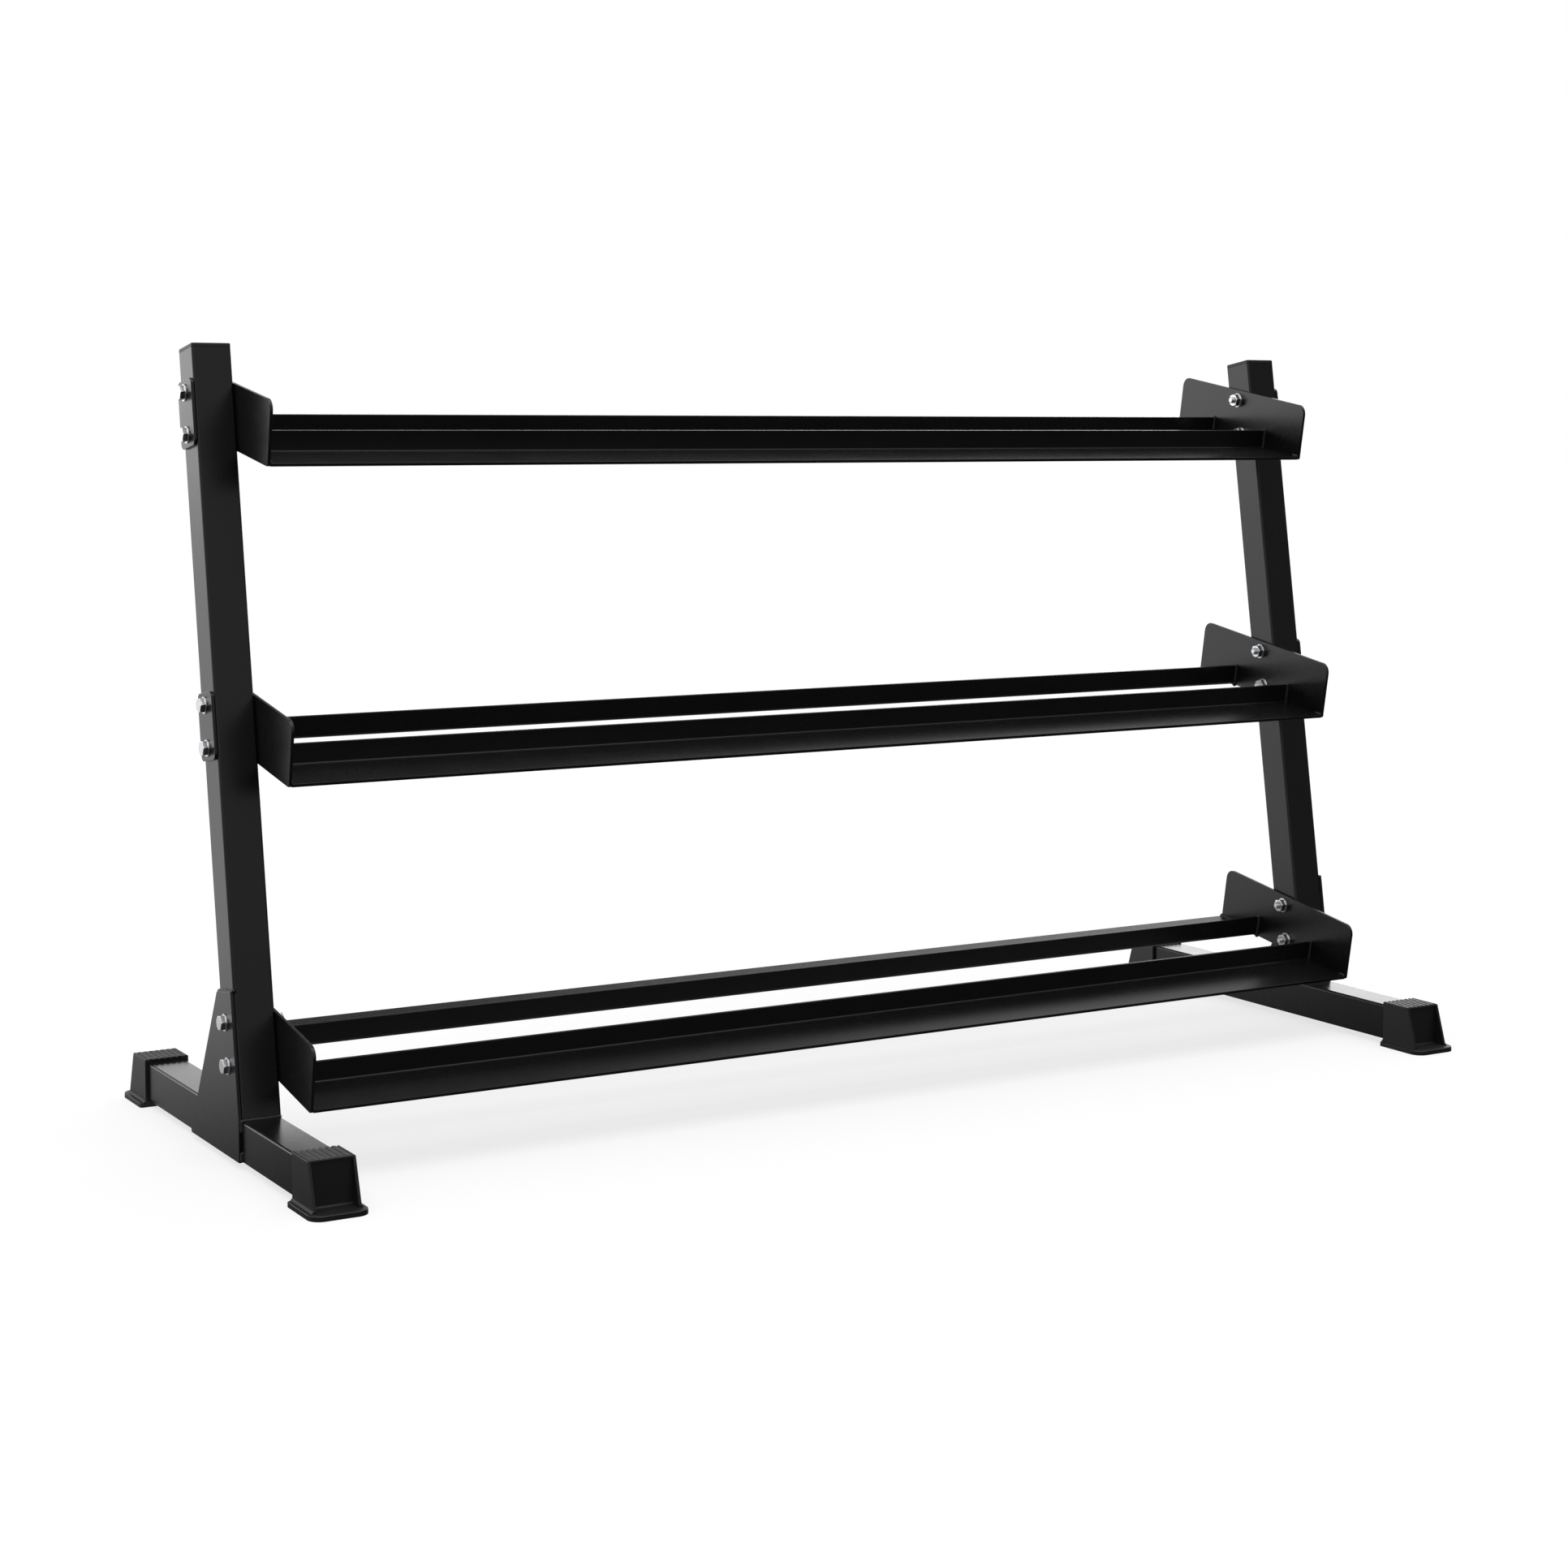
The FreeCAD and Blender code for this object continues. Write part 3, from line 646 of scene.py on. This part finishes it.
class RACK_OT_weld_shelves(RackOperator):
    """Lay the beads that join each rail to the end plates"""

    bl_idname = "rack.weld_shelves"
    bl_label = "Weld the shelves"

    def execute(self, context):
        rng = random.Random(7)
        welds = context.scene.rack_welds
        leg, short, long = welds.leg, welds.short, welds.long
        sheet = context.scene.rack_shape.sheet
        for tier in TIERS:
            front = turned_box(f"{tier}_shelf_front_rail", SHELF_TILT)
            rear = turned_box(f"{tier}_shelf_rear_rail", SHELF_TILT)
            floor = front[0].z + sheet
            for side, sign in SIDES:
                x = front[1].x * sign
                lines = (
                    ((x, front[1].y - sheet, floor), (x, front[1].y - sheet, front[1].z)),
                    ((x, rear[0].y, floor - sheet), (x, rear[0].y, rear[1].z)),
                    ((x, front[0].y + leg, floor), (x, front[0].y + short, floor)),
                    ((x, rear[1].y, floor), (x, rear[1].y - long, floor)),
                )
                flush = (
                    ((x, rear[1].y, floor - sheet), (x, rear[1].y, floor)),
                    ((x, front[0].y + short, front[0].z), (x, front[1].y - leg, front[0].z)),
                    ((x, rear[0].y + leg, rear[0].z), (x, rear[1].y - leg, rear[0].z)),
                )
                rows = []
                for line in lines:
                    rows += bead(*turned(line, SHELF_TILT), leg, rng)
                for line in flush:
                    rows += bead(*turned(line, SHELF_TILT), welds.flush, rng)
                piece = join(f"{tier}_shelf_{side}_welds", rows)
                finished(piece, finish("shelf_powder_coat"))
        return {"FINISHED"}


class RACK_OT_weld_frames(RackOperator):
    """Lay the beads that join upright, foot and gusset"""

    bl_idname = "rack.weld_frames"
    bl_label = "Weld the side frames"

    def execute(self, context):
        rng = random.Random(11)
        welds = context.scene.rack_welds
        leg, seam, short = welds.leg, welds.seam, welds.short
        lean = -context.scene.rack_shape.upright_lean
        for side, sign in SIDES:
            low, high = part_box(f"{side}_upright_tube")
            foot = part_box(f"{side}_foot_tube")
            plate = turned_box(f"{side}_gusset_plate", lean)
            tube = high.x - low.x
            top = foot[1].z
            front, rear = low.y, low.y + tube / math.cos(lean)
            inner, outer = (high.x, low.x) if sign < 0 else (low.x, high.x)
            ends = (low.x + leg, high.x - leg)
            groove = inner + sign * seam / 2
            lines = [
                ((ends[0], front, top), (ends[1], front, top), leg),
                ((ends[0], rear, top), (ends[1], rear, top), leg),
                ((groove, front + leg, top), (groove, rear - leg, top), seam),
                ((outer, front, foot[0].z + leg), (outer, front, foot[0].z + short), leg),
                ((outer, front, top - short), (outer, front, top), leg),
            ]
            depth = (turned_box(f"{side}_upright_tube", lean)[0].y, tube)
            crest = turned(
                ((outer, depth[0], plate[1].z), (outer, depth[0] + depth[1], plate[1].z)), lean
            )
            rows = bead(*crest, leg, rng)
            for start, end, radius in lines:
                rows += bead(Vector(start), Vector(end), radius, rng)
            piece = join(f"{side}_frame_welds", rows)
            finished(piece, finish("frame_powder_coat"))
        return {"FINISHED"}


# -------------------------------------------------------------------------- studio
class RACK_OT_studio(RackOperator):
    """Set up the pale floor, the soft light and the camera"""

    bl_idname = "rack.studio"
    bl_label = "Set up the studio"

    def execute(self, context):
        sizes = context.scene.rack_studio
        self.floor(sizes)
        self.light(context, sizes)
        self.camera(context, sizes)
        return {"FINISHED"}

    def floor(self, sizes):
        deselect()
        bpy.ops.mesh.primitive_plane_add(size=2 * sizes.floor_half)
        floor = bpy.context.active_object
        floor.name = "studio_floor"
        material, start, place = shader_tree("studio_floor_white")
        seen = start.node("ShaderNodeLightPath")
        pale = start.node("ShaderNodeBsdfDiffuse", None, {"Color": (*[sizes.floor_shade] * 3, 1)})
        glow = start.node("ShaderNodeEmission", None, {"Strength": sizes.floor_glow})
        shown = start.node("ShaderNodeAddShader", None, {0: pale, 1: glow})
        depth = start.node("ShaderNodeSeparateXYZ", None, {"Vector": place}, output=1)
        near, far = (
            start.node("ShaderNodeEmission", None, {"Strength": strength})
            for strength in (sizes.floor_near, sizes.floor_far)
        )
        back = depth.fade(*FLOOR_BACK)
        mirrored = start.node("ShaderNodeMixShader", None, {0: back, 1: near, 2: far})
        both = start.node("ShaderNodeMixShader", None, {0: seen, 1: mirrored, 2: shown})
        start.node("ShaderNodeOutputMaterial", None, {"Surface": both})
        floor.data.materials.append(material)

    def light(self, context, sizes):
        deselect()
        bpy.ops.object.light_add(type="SUN", rotation=(sizes.key_back, sizes.key_side, 0))
        key = context.active_object
        key.name = "overhead_softbox"
        key.data.angle = sizes.key_spread
        key.data.energy = sizes.key
        world = bpy.data.worlds.new("studio")
        world.use_nodes = True
        world.node_tree.nodes.clear()
        start = Signal(world.node_tree)
        way = start.node("ShaderNodeTexCoord")
        across, depth, height = (
            start.node("ShaderNodeSeparateXYZ", None, {"Vector": way}, output=axis)
            for axis in range(3)
        )
        back = depth.fade(*BACK_WALL)
        low = 1.0 - height.fade(*WALL_FOOT)
        right = across.fade(*WALL_RIGHT)
        upper = right * sizes.back_right + sizes.back_high
        behind = low * (right * 0.6 + 1.0) * sizes.back_low + (1.0 - low) * upper
        before = (1.0 - across.fade(*FRONT_RIGHT) * 0.8) * sizes.front
        above = height.fade(*OVERHEAD) * sizes.ceiling
        room = back * behind + (1.0 - back) * before + above
        seen = start.node("ShaderNodeLightPath")
        glow = room + seen * (1.0 - room)
        backdrop = start.node(
            "ShaderNodeBackground", None, {"Color": (1, 1, 1, 1), "Strength": glow}
        )
        start.node("ShaderNodeOutputWorld", None, {"Surface": backdrop})
        context.scene.world = world
        context.scene.view_settings.view_transform = "Standard"

    def camera(self, context, sizes):
        lens = bpy.data.cameras.new("camera")
        camera = bpy.data.objects.new("camera", lens)
        context.scene.collection.objects.link(camera)
        lens.lens = sizes.lens
        lens.shift_x, lens.shift_y = sizes.shift
        ahead = Vector((
            math.sin(sizes.turn) * math.cos(sizes.dip),
            math.cos(sizes.turn) * math.cos(sizes.dip),
            -math.sin(sizes.dip),
        ))
        level = ahead.to_track_quat("-Z", "Y").to_matrix().to_4x4()
        camera.matrix_world = (
            Matrix.Translation(sizes.eye) @ level @ Matrix.Rotation(sizes.roll, 4, "Z")
        )
        context.scene.camera = camera


OPERATORS = (
    RACK_OT_ease_steel,
    RACK_OT_ease_fasteners,
    RACK_OT_ease_mouldings,
    RACK_OT_thread_bolts,
    RACK_OT_weld_shelves,
    RACK_OT_weld_frames,
    RACK_OT_studio,
)


class RACK_PT_panel(bpy.types.Panel):
    """Sizes and steps of the rack"""

    bl_label = "Dumbbell rack"
    bl_space_type = "VIEW_3D"
    bl_region_type = "UI"
    bl_category = "Rack"

    def draw(self, context):
        for name in GROUPS:
            box = self.layout.box()
            group = getattr(context.scene, name)
            for entry in group.bl_rna.properties:
                if not entry.is_readonly and entry.identifier != "name":
                    box.prop(group, entry.identifier)
        for operator in OPERATORS:
            self.layout.operator(operator.bl_idname)


GROUPS = {
    "rack_shape": RackShape,
    "rack_welds": WeldSizes,
    "rack_finish": Finish,
    "rack_studio": StudioSizes,
}
CLASSES = (*GROUPS.values(), *OPERATORS, RACK_PT_panel)


def register():
    for made in CLASSES:
        bpy.utils.register_class(made)
    for name, group in GROUPS.items():
        setattr(bpy.types.Scene, name, PointerProperty(type=group))


def unregister():
    for name in GROUPS:
        delattr(bpy.types.Scene, name)
    for made in reversed(CLASSES):
        bpy.utils.unregister_class(made)


def main():
    register()
    for operator in OPERATORS:
        group, name = operator.bl_idname.split(".")
        getattr(getattr(bpy.ops, group), name)()


if __name__ == "__main__":
    main()
